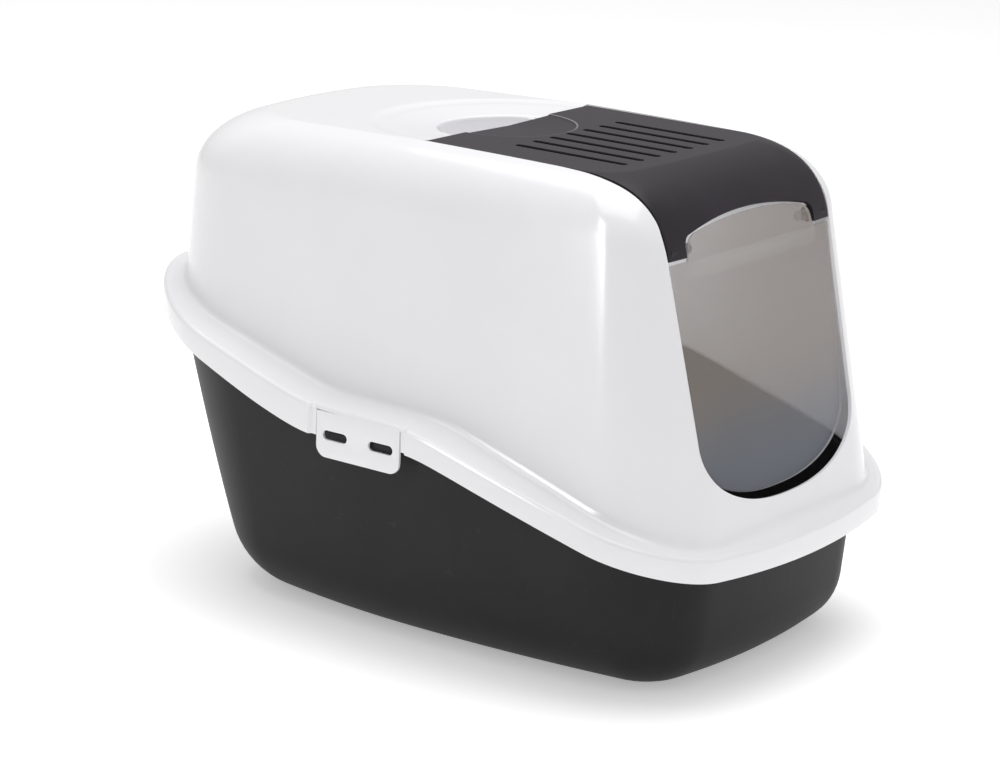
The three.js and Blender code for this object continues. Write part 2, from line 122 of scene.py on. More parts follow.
TAB_CORNER = 9.0
TAB_THICK = 2.5
TAB_RECESS = 3.0
NOTCH_HALF = 45.5
TAB_GAP = 0.8
TAB_SLOT = (23.0, 7.2, 21.7, 162.0)  # length, height, distance from the middle, height above the floor
SIDE_ONLY_X = 150.0  # points further out than this lie on the long sides
CATCH = (17.0, 3.6)
CATCH_ROOT = 12.0
CATCH_GAP = 0.3

# ---------------------------------------------------------------- camera, from the object's own box

VIEW_AZIMUTH = -54.021
VIEW_ELEVATION = 14.947
VIEW_ROLL = 2.2296
VIEW_DISTANCE = 2.5924
VIEW_TARGET = (0.0, 0.0, 0.190)
FOCAL_PER_WIDTH = 3.3039
VIEW_SHIFT = (-0.012656, -0.021651)


def make_camera():
    """A camera on a sphere about the target, rolled about its line of sight."""
    azimuth = math.radians(VIEW_AZIMUTH)
    elevation = math.radians(VIEW_ELEVATION)
    roll = math.radians(VIEW_ROLL)
    back = Vector((math.sin(azimuth) * math.cos(elevation), -math.cos(azimuth) * math.cos(elevation),
                   math.sin(elevation)))
    right = Vector((math.cos(azimuth), math.sin(azimuth), 0.0))
    up = back.cross(right)
    turned_right = right * math.cos(roll) + up * math.sin(roll)
    turned_up = up * math.cos(roll) - right * math.sin(roll)
    data = bpy.data.cameras.new("front_left_view")
    data.sensor_width = 36.0
    data.lens = 36.0 * FOCAL_PER_WIDTH
    data.shift_x, data.shift_y = VIEW_SHIFT
    data.clip_end = 50.0
    camera = bpy.data.objects.new("front_left_view", data)
    axes = Matrix((turned_right, turned_up, back)).transposed().to_4x4()
    camera.matrix_world = Matrix.Translation(Vector(VIEW_TARGET) + back * VIEW_DISTANCE) @ axes
    bpy.context.collection.objects.link(camera)
    bpy.context.scene.camera = camera


# ---------------------------------------------------------------- shader maths


class Field:
    """A value or colour that varies over a surface; arithmetic on it adds Math nodes."""

    def __init__(self, finish, socket):
        self.finish = finish
        self.socket = socket

    def maths(self, operation, first, second):
        return self.finish.add("ShaderNodeMath", dict(operation=operation), {0: first, 1: second})

    def __add__(self, other):
        return self.maths("ADD", self, other)

    def __radd__(self, other):
        return self.maths("ADD", other, self)

    def __sub__(self, other):
        return self.maths("SUBTRACT", self, other)

    def __rsub__(self, other):
        return self.maths("SUBTRACT", other, self)

    def __mul__(self, other):
        return self.maths("MULTIPLY", self, other)

    def __rmul__(self, other):
        return self.maths("MULTIPLY", other, self)


class Finish:
    """One material: a Principled shader and the nodes that feed it."""

    def __init__(self, name):
        self.material = bpy.data.materials.new(name)
        self.material.use_nodes = True
        self.tree = self.material.node_tree
        self.shader = self.tree.nodes["Principled BSDF"]
        coordinates = self.tree.nodes.new("ShaderNodeTexCoord")
        self.place = Field(self, coordinates.outputs["Object"])
        self.facing = Field(self, coordinates.outputs["Normal"])

    def add(self, kind, settings, inputs, output=0):
        """Adds one node: its settings first, then the values or links of its sockets."""
        node = self.tree.nodes.new(kind)
        for key, value in settings.items():
            setattr(node, key, value)
        for key, value in inputs.items():
            self.feed(node.inputs[key], value)
        return Field(self, node.outputs[output])

    def feed(self, socket, value):
        """Links a varying value to a socket, or sets a constant on it."""
        if isinstance(value, Field):
            self.tree.links.new(value.socket, socket)
        else:
            socket.default_value = value

    def set(self, **values):
        """Feeds the shader's sockets, named with underscores for spaces."""
        for key, value in values.items():
            self.feed(self.shader.inputs[key.replace("_", " ")], value)

    def stretched(self, scale):
        """Object coordinates stretched by a scale along each axis."""
        return self.add("ShaderNodeMapping", {}, {"Vector": self.place, "Scale": scale})

    def axis(self, name, vector=None):
        """One axis of the object coordinates, or of another vector."""
        return self.add("ShaderNodeSeparateXYZ", {}, {"Vector": vector or self.place}, name)

    def noise(self, scale, detail=3.0, rough=0.55, where=None):
        """Noise about 0.5 at a number of cells per metre."""
        inputs = {"Vector": where or self.place, "Scale": scale, "Detail": detail, "Roughness": rough}
        return self.add("ShaderNodeTexNoise", {}, inputs, "Fac")

    def mask(self, value, start, end):
        """0 below start, 1 above end, smooth between."""
        inputs = {"Value": value, "From Min": start, "From Max": end}
        return self.add("ShaderNodeMapRange", dict(interpolation_type="SMOOTHSTEP", clamp=True), inputs)

    def mix(self, factor, first, second):
        """The first colour where the factor is 0 and the second where it is 1."""
        return self.add("ShaderNodeMix", dict(data_type="RGBA"), {0: factor, 6: first, 7: second}, 2)

    def bump(self, height, strength, distance):
        """Relief of a height field."""
        inputs = {"Height": height, "Strength": strength, "Distance": distance}
        self.set(Normal=self.add("ShaderNodeBump", {}, inputs, "Normal"))


def gloss_white():
    """White hood plastic: faint moulding flow, orange peel, and a few long hairline rubs in the gloss."""
    finish = Finish("hood_white")
    flow = finish.noise(9.0, 4.0, 0.6)
    peel = finish.noise(420.0, 2.0, 0.5)
    grain = finish.noise(2600.0, 2.0, 0.6)
    rubs = finish.noise(60.0, 2.0, 0.7, finish.stretched((22.0, 1.0, 9.0)))
    rub_mask = finish.mask(rubs, 0.60, 0.74)
    surface_colour = finish.mix(finish.mask(flow, 0.3, 0.7), (0.855, 0.850, 0.866, 1.0), (0.835, 0.829, 0.848, 1.0))
    finish.set(Base_Color=surface_colour, Roughness=0.15 + 0.04 * flow + 0.06 * rub_mask + 0.03 * grain)
    finish.set(IOR=1.5, Specular_IOR_Level=0.5)
    finish.bump(0.7 * peel + 0.3 * grain, 0.05, 0.0004)
    return finish.material


def slot_shade_and_grip_highlight(finish, colour):
    """Painted light on the cover: near-black painted shade in and under its slots, and a pale painted
    highlight along the rim of its half-moon grip.
    """
    x = finish.axis("X")
    y = finish.axis("Y")
    # Painted shade: everything below the cover's top, from just before the slots to their rear ends, is
    # painted near black. This covers the slot walls, the underside and the lower part of the side edges
    # there.
    below = 1.0 - finish.mask(finish.axis("Z"), (COVER_TOP - 1.2) * MM, (COVER_TOP - 0.4) * MM)
    behind_front = finish.mask(y, (SLOT_ENDS[0] - 4.0) * MM, (SLOT_ENDS[0] - 3.0) * MM)
    before_grip = 1.0 - finish.mask(y, SLOT_ENDS[1] * MM, (SLOT_ENDS[1] + 0.6) * MM)
    colour = finish.mix(below * (behind_front * before_grip), colour, (0.0015, 0.0013, 0.0016, 1.0))
    # Painted highlight: a thin pale ring just inside the rim of the half-moon grip.
    from_hinge = y - HINGE_Y * MM
    square = x * x + from_hinge * from_hinge
    inner = POCKET_RADIUS * MM - 0.0019
    outer = POCKET_RADIUS * MM - 0.0001
    soft = 0.0005
    rim = finish.mask(square, inner ** 2, (inner + soft) ** 2)
    rim = rim * (1.0 - finish.mask(square, (outer - soft) ** 2, outer ** 2))
    return finish.mix(rim, colour, (0.20, 0.19, 0.205, 1.0))


def eroded_plastic(name, colour, paler, roughness, relief, painted_light=None):
    """Dark moulded plastic with a fine eroded grain, cloudy flow marks and pale rubs on the grain's tips.

    The last argument, if given, is a function that paints shade and highlights into the colour by place."""
    finish = Finish(name)
    cloud = finish.noise(14.0, 5.0, 0.62)
    grain = finish.noise(1500.0, 3.0, 0.7)
    pits = finish.noise(900.0, 2.0, 0.5)
    scuffs = finish.noise(38.0, 3.0, 0.75, finish.stretched((14.0, 2.0, 1.0)))
    scuff_mask = finish.mask(scuffs, 0.62, 0.78)
    tips = finish.mask(grain, 0.55, 0.75)
    base = finish.mix(finish.mask(cloud, 0.32, 0.70), colour, paler)
    wear_and_painted_light = finish.mix(0.22 * scuff_mask + 0.03 * tips, base, (0.055, 0.052, 0.057, 1.0))
    # Where a function for them is given, painted shade and highlights are mixed into the colour here.
    if painted_light:
        wear_and_painted_light = painted_light(finish, wear_and_painted_light)
    finish.set(Base_Color=wear_and_painted_light, Roughness=roughness + 0.10 * cloud - 0.07 * scuff_mask + 0.05 * pits)
    finish.set(Specular_IOR_Level=0.23)
    finish.bump(0.6 * grain + 0.4 * pits, relief, 0.0005)
    return finish.material


def smoked_clear():
    """See-through smoked plastic: glossy, slightly cloudy, with fine vertical hairlines in its gloss.

    Its colour carries painted light. It is paler and warmer high up and cooler and darker low down, standing
    in for the pale inner wall and the dark tub seen through it. Its edges carry a pale, more opaque painted
    highlight.
    """
    finish = Finish("door_smoke")
    haze = finish.noise(12.0, 3.0, 0.5)
    hairs = finish.noise(90.0, 2.0, 0.7, finish.stretched((30.0, 30.0, 1.2)))
    hair_mask = finish.mask(hairs, 0.60, 0.76)
    # Painted light: the upper part is painted paler and warmer and the lower part cooler and darker, standing
    # in for the pale inner wall and the dark tub seen through the door.
    upper = finish.mask(finish.axis("Z") + 0.03 * haze, 0.17, 0.25)
    sideways = finish.axis("Y", finish.facing)
    # Painted highlight: faces that look neither to the front nor to the back are painted pale. These are the
    # door's cut edges.
    edge = 1.0 - finish.mask(sideways * sideways, 0.20, 0.56)
    surface_colour = finish.mix(upper, (0.235, 0.255, 0.305, 1.0), (0.345, 0.300, 0.270, 1.0))
    surface_colour = finish.mix(edge, surface_colour, (0.66, 0.63, 0.61, 1.0))
    finish.set(Base_Color=surface_colour, Roughness=0.07 + 0.05 * haze + 0.10 * hair_mask)
    # The edges are also made more opaque, to carry their painted highlight.
    finish.set(Alpha=0.33 + 0.06 * haze + 0.40 * edge)
    finish.set(IOR=1.49, Specular_IOR_Level=0.5)
    finish.bump(finish.noise(25.0, 2.0, 0.5), 0.03, 0.002)
    return finish.material


def carbon_foam():
    """Charcoal filter foam: open cells, darker in their middles and paler along the ridges between them."""
    finish = Finish("charcoal_foam")
    cells = finish.add("ShaderNodeTexVoronoi", dict(feature="F1"), {"Vector": finish.place, "Scale": 620.0},
                       "Distance")
    fibres = finish.noise(900.0, 5.0, 0.75)
    blotch = finish.noise(30.0, 3.0, 0.6)
    # Paler along the ridges between cells, darker in the cells' middles.
    ridge = finish.mask(cells, 0.10, 0.55)
    tone = finish.mix(0.6 * ridge + 0.4 * blotch, (0.006, 0.006, 0.006, 1.0), (0.040, 0.040, 0.042, 1.0))
    finish.set(Base_Color=tone, Roughness=0.86 + 0.12 * fibres)
    finish.bump(0.6 * cells + 0.4 * fibres, 0.7, 0.0012)
    return finish.material


# ---------------------------------------------------------------- plan outlines and walls


def mix(a, b, t):
    """a at t = 0 and b at t = 1, in a straight line."""
    return a + (b - a) * t


def smooth(low, high, value):
    """0 below low, 1 above high, 3t^2 - 2t^3 between."""
    t = np.clip((value - low) / (high - low), 0.0, 1.0)
    return t * t * (3.0 - 2.0 * t)


RUN_ENDS = (0.14, 0.32, 0.66, 0.86)  # where the front run, front corner, side and rear corner end


def plan_point(plan, s, inset=0.0):
    """Point s of the right half of a rounded rectangle with bowed sides, 0 front middle to 1 rear middle.

    Front run, quarter circle, side, quarter circle and rear run follow each other; then x and y are
    stretched by a bow that is greatest at the middle of each side and nil at its ends."""
    side = plan["side"] - plan["bow_side"] - inset
    front = plan["front"] - plan["bow_front"] - inset
    rear = plan["rear"] - plan["bow_rear"] - inset
    nose = np.maximum(plan["corner_front"] - inset, 2.0)
    tail = np.maximum(plan["corner_rear"] - inset, 2.0)
    a, b, c, d = RUN_ENDS
    along_front = np.clip(s / a, 0.0, 1.0)
    turn_front = np.clip((s - a) / (b - a), 0.0, 1.0) * math.pi / 2
    along_side = np.clip((s - b) / (c - b), 0.0, 1.0)
    turn_rear = np.clip((s - c) / (d - c), 0.0, 1.0) * math.pi / 2
    along_rear = np.clip((s - d) / (1.0 - d), 0.0, 1.0)
    x = (side - nose) * along_front + nose * np.sin(turn_front) - tail * (1 - np.cos(turn_rear))
    x = x - (side - tail) * along_rear
    y = -front + nose * (1 - np.cos(turn_front)) + (front + rear - nose - tail) * along_side
    y = y + tail * np.sin(turn_rear)
    length = np.where(y < 0, front, rear)
    bow = np.where(y < 0, plan["bow_front"] / front, plan["bow_rear"] / rear)
    bowed_x = x * (1 + plan["bow_side"] / side * (1 - (y / length) ** 2))
    bowed_y = y * (1 + bow * (1 - (x / side) ** 2))
    return bowed_x, bowed_y


def wall_at(wall, z, inset):
    """Distance of a wall from the middle at height z: a drafted wall with a shoulder arc above it."""
    edge, radius, crown, draft = wall
    lean = math.radians(draft)
    slope = math.radians(crown)
    r = radius - inset
    centre = edge - radius * math.sin(slope)
    centre_z = ROOF_Z - radius * math.cos(slope)
    tangent_z = centre_z + r * math.sin(lean)
    straight = centre + r * math.cos(lean) + math.tan(lean) * (tangent_z - z)
    arc = centre + np.sqrt(np.maximum(r * r - (z - centre_z) ** 2, 0.0))
    return np.where(z < tangent_z, straight, arc)


def hood_plan(z, inset=0.0):
    """The hood's outline at height z: walls by their profiles, corners that tighten evenly with height."""
    high = np.clip((z - HOOD_LOW_Z) / (ROOF_Z - HOOD_LOW_Z), 0.0, 1.0)
    return dict(
        side=wall_at(SIDE_WALL, z, inset),
        front=wall_at(FRONT_WALL, z, inset) + FRONT_BULGE,
        rear=wall_at(REAR_WALL, z, inset),
        corner_front=mix(*HOOD_CORNER_FRONT, high) - inset,
        corner_rear=mix(*HOOD_CORNER_REAR, high) - inset,
        **HOOD_BOW)


def roof_drop(y, z):
    """How far the rear of the roof falls below the level it would have."""
    share = np.clip((z - ROOF_FALL_Z) / (ROOF_Z - ROOF_FALL_Z), 0.0, 1.0)
    return ROOF_FALL * share * np.maximum(y - HINGE_Y, 0.0)


def hood_xy(s, z, inset=0.0):
    """Place s along the hood's outline at height z."""
    return plan_point(hood_plan(z, inset), s)


def hood_point(s, z, inset=0.0):
    """Point of the hood's skin: place s along the outline at height z, lowered where the roof falls."""
    x, y = hood_xy(s, z, inset)
    return np.stack([x, y, z - roof_drop(y, z)], -1)


def front_y(x, z, inset=0.0):
    """Depth of the hood's front at a distance x from the middle, found by halving along the outline."""
    x, z = np.broadcast_arrays(np.abs(x).astype(float), np.asarray(z, float))
    low = np.zeros(x.shape)
    high = np.full(x.shape, RUN_ENDS[1])
    for _ in range(34):
        middle = (low + high) / 2
        short = hood_xy(middle, z, inset)[0] < x
        low = np.where(short, middle, low)
        high = np.where(short, high, middle)
    return hood_xy(low, z, inset)[1]


def ramp_up(t):
    """Zero below t = 0 and t above it, with a rounded bend."""
    return (t + np.hypot(t, RIM_BLEND)) / 2


def rim_z(y):
    """Height of the rim line along the box: level by the tabs, falling forwards and rising rearwards.

    The skirt's lower edge follows it, less skirt_trim."""
    return RIM_TAB_Z - RIM_FALL * ramp_up(-y - RIM_TAB_HALF) + RIM_RISE * ramp_up(y - RIM_TAB_HALF)


def skirt_trim(y):
    """How far the skirt stops short of the rim line: evenly before the tabs, growing to the rear end."""
    rear = SKIRT_TRIM["rear_slope"] * ramp_up(y - SKIRT_TRIM["rear_start"])
    return np.where(y < 0, SKIRT_TRIM["front"], rear)


def cover_half(y):
    """Half-width of the vent cover: wider over the front, eased between."""
    return mix(COVER_REAR_HALF, COVER_FRONT_HALF, smooth(COVER_FLARE[0], COVER_FLARE[1], -y))


def doorway_half(z):
    """Half-width of the doorway at height z: it widens evenly upwards."""
    slope = (DOORWAY["top"] - DOORWAY["low"]) / (DOORWAY["top_z"] - DOORWAY["low_z"])
    return DOORWAY["low"] + slope * (z - DOORWAY["low_z"])


# ---------------------------------------------------------------- meshes


def grid_faces(shape, closed, start):
    """Quads between neighbouring rows and columns; closed joins the last column to the first."""
    index = start + np.arange(shape[0] * shape[1]).reshape(shape)
    if closed:
        index = np.hstack([index, index[:, :1]])
    corners = [index[:-1, :-1], index[:-1, 1:], index[1:, 1:], index[1:, :-1]]
    return np.stack(corners, -1).reshape(-1, 4)


def make_piece(name, grids, inside=None, weld=2e-5):
    """One mesh from several grids of points in mm, each (points, closed).

    Doubles are merged and faces made to agree; if inside is given, the faces are turned away from it."""
    points = np.concatenate([g.reshape(-1, 3) for g, _ in grids]) * MM
    faces = []
    start = 0
    for grid, closed in grids:
        faces.append(grid_faces(grid.shape[:2], closed, start))
        start += grid.shape[0] * grid.shape[1]
    faces = np.concatenate(faces)
    mesh = bpy.data.meshes.new(name)
    mesh.from_pydata(points, [], faces.tolist())
    work = bmesh.new()
    work.from_mesh(mesh)
    bmesh.ops.remove_doubles(work, verts=work.verts, dist=weld)
    bmesh.ops.dissolve_degenerate(work, edges=work.edges, dist=1e-6)
    bmesh.ops.recalc_face_normals(work, faces=work.faces)
    work.to_mesh(mesh)
    work.free()
    if inside is not None:
        turn_outwards(mesh, np.array(inside) * MM)
    mesh.polygons.foreach_set("use_smooth", np.ones(len(mesh.polygons), bool))
    piece = bpy.data.objects.new(name, mesh)
    bpy.context.collection.objects.link(piece)
    return piece


def turn_outwards(mesh, inside):
    """Flips every face if, weighted by area, they look towards the inner point."""
    count = len(mesh.polygons)
    centres = np.empty(count * 3)
    normals = np.empty(count * 3)
    areas = np.empty(count)
    mesh.polygons.foreach_get("center", centres)
    mesh.polygons.foreach_get("normal", normals)
    mesh.polygons.foreach_get("area", areas)
    outwards = ((centres.reshape(-1, 3) - inside) * normals.reshape(-1, 3)).sum(1) * areas
    if outwards.sum() < 0:
        mesh.flip_normals()


def add_wall(piece, thickness):
    """Gives an open skin its wall, inwards."""
    wall = piece.modifiers.new("wall", "SOLIDIFY")
    wall.thickness = thickness * MM
    wall.offset = -1.0
    wall.use_even_offset = False


def add_cut(piece, cutter):
    """Cuts another closed piece out of this one."""
    cut = piece.modifiers.new("cut", "BOOLEAN")
    cut.operation = "DIFFERENCE"
    cut.solver = "EXACT"
    cut.object = cutter


def add_edge(piece, width, segments=3, angle=40.0):
    """Rounds the sharp edges."""
    edge = piece.modifiers.new("edge", "BEVEL")
    edge.width = width * MM
    edge.segments = segments
    edge.limit_method = "ANGLE"
    edge.angle_limit = math.radians(angle)
    edge.use_clamp_overlap = True
    edge.miter_outer = "MITER_ARC"


def settle(piece, cutters=(), sharp=35.0):
    """Applies the modifiers and marks what is left sharp; the cutters are removed."""
    graph = bpy.context.evaluated_depsgraph_get()
    mesh = bpy.data.meshes.new_from_object(piece.evaluated_get(graph), depsgraph=graph)
    piece.modifiers.clear()
    piece.data = mesh
    mesh.polygons.foreach_set("use_smooth", np.ones(len(mesh.polygons), bool))
    mesh.set_sharp_from_angle(angle=math.radians(sharp))
    for cutter in cutters:
        bpy.data.objects.remove(cutter)
    return piece


def finish_piece(piece, material, body, slot_name, *nodes):
    """Gives a piece its material, and says which body it rides on and which CAD nodes it stands for."""
    piece.data.materials.clear()
    piece.data.materials.append(material)
    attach(piece, body)
    if nodes:
        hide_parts(*nodes)


def mirrored_rows(points, closed_rear=True):
    """Right-half columns, front middle to rear middle, then their mirror images back to the front."""
    left = points[:, -2:0:-1] if closed_rear else points[:, ::-1]
    return np.concatenate([points, left * np.array([-1.0, 1.0, 1.0])], 1)


def turned_x(profile, centre, steps=40):
    """A profile of (x, radius) turned about an axis along X through centre (y, z)."""
    x, radius = np.array(profile, float).T
    angle = np.arange(steps) * 2 * math.pi / steps
    ring = np.ones(steps)
    return np.stack([x[:, None] * ring, centre[0] + radius[:, None] * np.cos(angle),
                     centre[1] + radius[:, None] * np.sin(angle)], -1)


def slab(outline, low, high, axis):
    """A closed block: an outline of 2-D points, shrunk to its middle on both faces, between two levels."""
    outline = np.array(outline, float)
    middle = outline.mean(0)
    rings = [middle + (outline - middle) * k for k in (0.0, 1.0, 1.0, 0.0)]
    levels = [low, low, high, high]
    layers = []
    for ring, level in zip(rings, levels):
        flat = np.full((len(ring), 1), float(level))
        layers.append(np.hstack([ring[:, :axis], flat, ring[:, axis:]]))
    return np.stack(layers)


def rounded_box(lo, hi, radius, steps=6):
    """The outline of a rounded rectangle with corners of that radius, counter-clockwise."""
    angle = np.linspace(0, math.pi / 2, steps + 1)
    arcs = []
    for k, (cx, cy) in enumerate([(hi[0] - radius, hi[1] - radius), (lo[0] + radius, hi[1] - radius),
                                  (lo[0] + radius, lo[1] + radius), (hi[0] - radius, lo[1] + radius)]):
        turn = angle + k * math.pi / 2
        arcs.append(np.stack([cx + radius * np.cos(turn), cy + radius * np.sin(turn)], -1))
    return np.concatenate(arcs)


# ---------------------------------------------------------------- hood

LEDGE_RISE = 1.5
EDGE_ROUND = 3.6
FILLET = 6.0
COVER_SEAM = 1.0  # gap between the hood and the cover's sides
HOOD_COLUMNS = 230
WALL_ROWS = 46


def halve(test, low, high, turns=40):
    """Finds where a rising test turns true, elementwise, by halving between low and high."""
    for _ in range(turns):
        middle = (low + high) / 2
        past = test(middle)
        low = np.where(past, low, middle)
        high = np.where(past, middle, high)
    return (low + high) / 2


def doorway_edge():
    """(s, z) of the hood's edge round the right half of the doorway.

    A superellipse bend, x = half (sin a)^p and z = top - bend (cos a)^p, is followed by a drafted side."""
    bend_z = DOORWAY["sill_z"] + DOORWAY["bend"]
    power = 2 / DOORWAY["squareness"]
    turn = np.linspace(0, math.pi / 2, 300)[:-1]
    side_z = np.linspace(bend_z, COVER_ARM_Z - 1.0, 90)
    x = np.concatenate([doorway_half(bend_z) * np.sin(turn) ** power, doorway_half(side_z)])
    z = np.concatenate([bend_z - DOORWAY["bend"] * np.cos(turn) ** power, side_z])
    s = halve(lambda v: hood_xy(v, z)[0] > x, np.zeros(len(x)), np.full(len(x), RUN_ENDS[1]))
    return s, z


def cover_edge(start, end):
    """(s, z) of the hood's edge beside the cover: for each s, the height where it meets the cover's side."""
    s = np.linspace(start, end, 500)[1:]

    def inside_cover(z):
        x, y = hood_xy(s, z)
        return x < cover_half(y) + COVER_SEAM

    z = halve(inside_cover, np.full(len(s), COVER_ARM_Z - 2.0), np.full(len(s), ROOF_Z))
    return s, z


def hood_boundary():
    """The hood's whole inner edge as (s, z): doorway, beside the cover, then the crease behind the cover."""
    s_door, z_door = doorway_edge()
    s_hinge = float(halve(lambda v: hood_xy(v, np.array(ROOF_Z - 0.03))[1] > HINGE_Y, np.array(0.3),
                          np.array(0.7)))
    s_cover, z_cover = cover_edge(s_door[-1], s_hinge)
    s_crease = np.linspace(s_hinge, 1.0, 500)[1:]
    s = np.concatenate([s_door, s_cover, s_crease])
    z = np.concatenate([z_door, z_cover, np.full(len(s_crease), ROOF_Z)])
    points = hood_point(s, z)
    reach = np.concatenate([[0], np.cumsum(np.linalg.norm(np.diff(points, axis=0), axis=1))])
    corner = reach[len(s_door) + len(s_cover) - 1] / reach[-1]
    return s, z, reach / reach[-1], corner


def along_rim(share):
    """Place s on the rim at a share of its length from the front middle to the rear middle."""
    s = np.linspace(0, 1, 4000)
    x, y = plan_point(RIM, s)
    reach = np.concatenate([[0], np.cumsum(np.hypot(np.diff(x), np.diff(y)))])
    return np.interp(share, reach / reach[-1], s)


def notch_amount(y, x):
    """1 inside the recess for a latch tab, 0 outside, with a soft step; only on the long sides."""
    return (1 - smooth(NOTCH_HALF - 2.0, NOTCH_HALF + 1.0, np.abs(y))) * (x > SIDE_ONLY_X)


def notch_lift(y, x):
    """How far the skirt's lower edge is raised over a tab, so that the tab hangs in an open notch."""
    open_share = 1 - smooth(TAB_HALF + TAB_GAP - 0.2, TAB_HALF + TAB_GAP + 0.2, np.abs(y))
    return FLANGE_SEAT * open_share * (x > SIDE_ONLY_X)


def hood_columns(corner):
    """Shares of the way round at which the hood has a column, denser at the notch ends."""
    share = np.linspace(0, 1, HOOD_COLUMNS)
    probe = np.linspace(0, 1, 6000)
    x, y = plan_point(RIM, along_rim(probe))
    step = NOTCH_HALF + np.linspace(-2.4, 1.4, 9)
    cut = TAB_HALF + TAB_GAP + np.array([-1.0, -0.2, 0.2, 1.0])
    wanted = np.concatenate([-step, step, -cut, cut])
    extra = np.interp(wanted, y[x > SIDE_ONLY_X], probe[x > SIDE_ONLY_X])
    share = np.concatenate([share, extra, [corner]])
    share = np.unique(np.round(share, 7))
    return share[np.concatenate([[True], np.diff(share) > 1e-5])]


def skirt_rows(s):
    """The skirt from its lower edge up, over the rounded edge and in along the ledge to the fillet."""
    x0, y0 = plan_point(RIM, s)
    recess = TAB_RECESS * notch_amount(y0, x0)
    base = rim_z(y0)
    top = base + SKIRT
    lift = np.maximum(notch_lift(y0, x0), skirt_trim(y0))
    low = base + lift
    high = np.maximum(top - EDGE_ROUND, low)
    rows = []
    for share in (0.0, 0.5, 1.0):
        x, y = plan_point(RIM, s, recess)
        rows.append(np.stack([x, y, mix(low, high, share)], -1))
    for turn in np.linspace(0, math.pi / 2, 8)[1:]:
        round_now = np.minimum(EDGE_ROUND, np.maximum(SKIRT - lift, 0.5))
        x, y = plan_point(RIM, s, recess + round_now * (1 - math.cos(turn)))
        rows.append(np.stack([x, y, top - round_now * (1 - math.sin(turn))], -1))
    return rows


def ledge_rows(s, edge):
    """Ledge and fillet: a straight line in to the fillet, then a quadratic Bezier up to the wall."""
    height = rim_z(edge[:, 1]) + SKIRT + LEDGE_RISE
    foot = hood_point(s, height)
    for _ in range(3):
        height = rim_z(foot[:, 1]) + SKIRT + LEDGE_RISE
        foot = hood_point(s, height)
    span = np.linalg.norm((foot - edge)[:, :2], axis=1, keepdims=True)
    start = foot + (edge - foot) * np.minimum(FILLET / span, 0.7)
    up = hood_point(s, height + FILLET)
    rows = [mix(edge, start, t) for t in (0.2, 0.4, 0.6, 0.8, 1.0)]
    for t in np.linspace(0, 1, 9)[1:]:
        rows.append((1 - t) ** 2 * start + 2 * t * (1 - t) * foot + t * t * up)
    return rows, height + FILLET


def wall_rows(s_low, z_low, s_high, z_high):
    """The wall from the fillet to the inner edge: s runs evenly, and the rows close up near the roof."""
    rows = []
    ease = 1.0 + 0.6 * smooth(330.0, 372.0, z_high)
    for g in np.linspace(0, 1, WALL_ROWS + 1)[1:]:
        rise = 1 - (1 - g) ** ease
        rows.append(hood_point(mix(s_low, s_high, g), mix(z_low, z_high, rise)))
    return rows


def dish_rows(edge):
    """The roof behind the hinge: spokes from the crease in to the middle of the handle pocket.

    Flat to the dish, a shallow cone to the pocket, then a rounded edge, a wall, a rounded foot, a floor."""
    centre = np.array([0.0, HINGE_Y])
    spoke = edge[:, :2] - centre
    reach = np.linalg.norm(spoke, axis=1)
    unit = spoke / reach[:, None]
    unit[:, 1] = np.maximum(unit[:, 1], 0.0)
    dish = np.minimum(DISH_RADIUS, reach - 0.5)
    rows = []

    def ring(radius, drop):
        xy = centre + unit * radius[:, None]
        level = ROOF_Z - ROOF_FALL * np.maximum(xy[:, 1] - HINGE_Y, 0.0)
        rows.append(np.column_stack([xy, level - drop]))

    def round_ring(radius, drop):
        ring(np.full(len(reach), radius), np.full(len(reach), drop))

    for t in np.linspace(0, 1, 13)[1:]:
        ring(mix(reach, dish, t), np.zeros(len(reach)))
    rim = POCKET_RADIUS + POCKET_ROUND
    for t in np.concatenate([[0.012, 0.03], np.linspace(0, 1, 17)[1:]]):
        fall = DISH_SINK * (t + 0.12 * math.sin(math.pi * min(t * 3, 1)))
        ring(mix(dish, np.full(len(reach), rim), t), np.full(len(reach), fall))
    for turn in np.linspace(0, math.pi / 2, 7)[1:]:
        round_ring(rim - POCKET_ROUND * math.sin(turn), DISH_SINK + POCKET_ROUND * (1 - math.cos(turn)))
    for depth in np.linspace(DISH_SINK + POCKET_ROUND, POCKET_DEPTH - POCKET_FOOT, 9)[1:]:
        round_ring(POCKET_RADIUS, depth)
    for turn in np.linspace(0, math.pi / 2, 9)[1:]:
        round_ring(POCKET_RADIUS - POCKET_FOOT * (1 - math.cos(turn)),
                   POCKET_DEPTH - POCKET_FOOT * (1 - math.sin(turn)))
    for t in np.linspace(0, 1, 12)[1:]:
        round_ring(mix(POCKET_RADIUS - POCKET_FOOT, 0.02, t), POCKET_DEPTH)
    return np.stack(rows)


def make_hood_shell():
    """Skirt, ledge and wall as rows from the rim to the hood's inner edge, and the roof as spokes behind."""
    s_edge, z_edge, reach, corner = hood_boundary()
    share = hood_columns(corner)
    s_high = np.interp(share, reach, s_edge)
    z_high = np.interp(share, reach, z_edge)
    s_low = along_rim(share)
    skirt = skirt_rows(s_low)
    ledge, z_low = ledge_rows(s_low, skirt[-1])
    wall = wall_rows(s_low, z_low, s_high, z_high)
    shell = np.stack(skirt + ledge + wall)
    behind = np.searchsorted(share, corner - 1e-7)
    crease = shell[-1:, behind:]
    roof = np.concatenate([crease, dish_rows(crease[0])])
    grids = [(mirrored_rows(shell), True), (mirrored_rows(roof, False), False)]
    piece = make_piece("hood_shell", grids, inside=(0, 0, 200))
    add_wall(piece, WALL)
    add_edge(piece, 0.7)
    return settle(piece)


